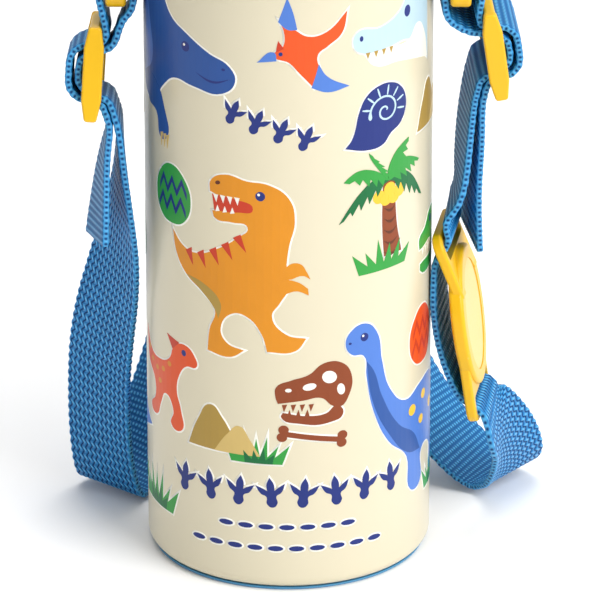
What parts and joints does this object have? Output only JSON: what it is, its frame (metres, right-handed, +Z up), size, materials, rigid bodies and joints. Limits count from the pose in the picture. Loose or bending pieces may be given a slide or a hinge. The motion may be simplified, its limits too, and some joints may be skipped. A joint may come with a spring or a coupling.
{
  "type": "water bottle",
  "caption": "Insulated kids' bottle: steel flask, screw cap with flip lid, push button, lock slider and a webbing carry strap with adjusters and name holder.",
  "frame": {"origin": "centre of the foot, on the surface that the bottle stands on", "axes": "+Z up along the bottle's axis; -Y is the front with the push button, +Y the lid's hinge, +X the side with the name holder"},
  "size_m": [0.1219, 0.099, 0.222],
  "materials": {
    "cream_paint": "cream semi-gloss coating",
    "steel": "electropolished",
    "blue_plastic": "satin",
    "blue_foot": "matt",
    "yellow_plastic": "satin",
    "white_plastic": "satin",
    "silicone": "matt",
    "spring_steel": "bright",
    "webbing": "coarse woven",
    "card": "matt"
  },
  "bodies": {
    "bottle": {"outer_shell": "cream_paint", "inner_flask": "steel", "bottom_disc": "steel", "base_cover": "blue_foot", "strap_collar": "blue_plastic", "stud_cap_right": "blue_plastic", "stud_cap_left": "blue_plastic"},
    "cap_seal": {"neck_gasket": "silicone"},
    "cap": {"cap_base": "blue_plastic", "spout": "white_plastic", "spout_seal": "silicone", "hinge_pin": "spring_steel", "hinge_spring": "spring_steel", "button_spring": "spring_steel"},
    "button": {"push_button": "yellow_plastic"},
    "lock": {"lock_slider": "yellow_plastic"},
    "lid": {"lid_shell": "blue_plastic", "lid_liner": "white_plastic", "lid_gasket": "silicone"},
    "carry_strap": {"link_right": "yellow_plastic", "link_left": "yellow_plastic", "glide_left": "yellow_plastic", "glide_right": "yellow_plastic", "strap_loop_left": "webbing", "strap_loop_right": "webbing", "strap_webbing": "webbing", "name_frame": "yellow_plastic", "name_card": "card"}
  },
  "joints": [
    {"name": "cap_lift", "type": "slide", "parent": "bottle", "child": "cap_seal", "axis": [0, 0, 1], "range_m": [0, 0.005]},
    {"name": "cap_turn", "type": "hinge", "parent": "cap_seal", "child": "cap", "pos_m": [0, 0, 0.195], "axis": [0, 0, 1], "range_deg": [0, 360]},
    {"name": "button_press", "type": "slide", "parent": "cap", "child": "button", "axis": [0, 1, 0], "range_m": [0, 0.0015], "stiffness_N_per_m": 400, "springref_m": -0.002, "deforming": ["button_spring"]},
    {"name": "lock_slide", "type": "hinge", "parent": "cap", "child": "lock", "pos_m": [0, 0, 0.194], "axis": [0, 0, 1], "range_deg": [-8, 0]},
    {"name": "lid_flip", "type": "hinge", "parent": "cap", "child": "lid", "pos_m": [0, 0.0393, 0.2045], "axis": [-1, 0, 0], "range_deg": [0, 115], "deforming": ["hinge_spring"]},
    {"name": "strap_swing", "type": "hinge", "parent": "bottle", "child": "carry_strap", "pos_m": [0, 0, 0.178], "axis": [1, 0, 0], "range_deg": [0, 150]}
  ],
  "couplings": [
    {"joint": "cap_turn", "follows": "cap_lift", "rad_per_m": 1256.6}
  ]
}
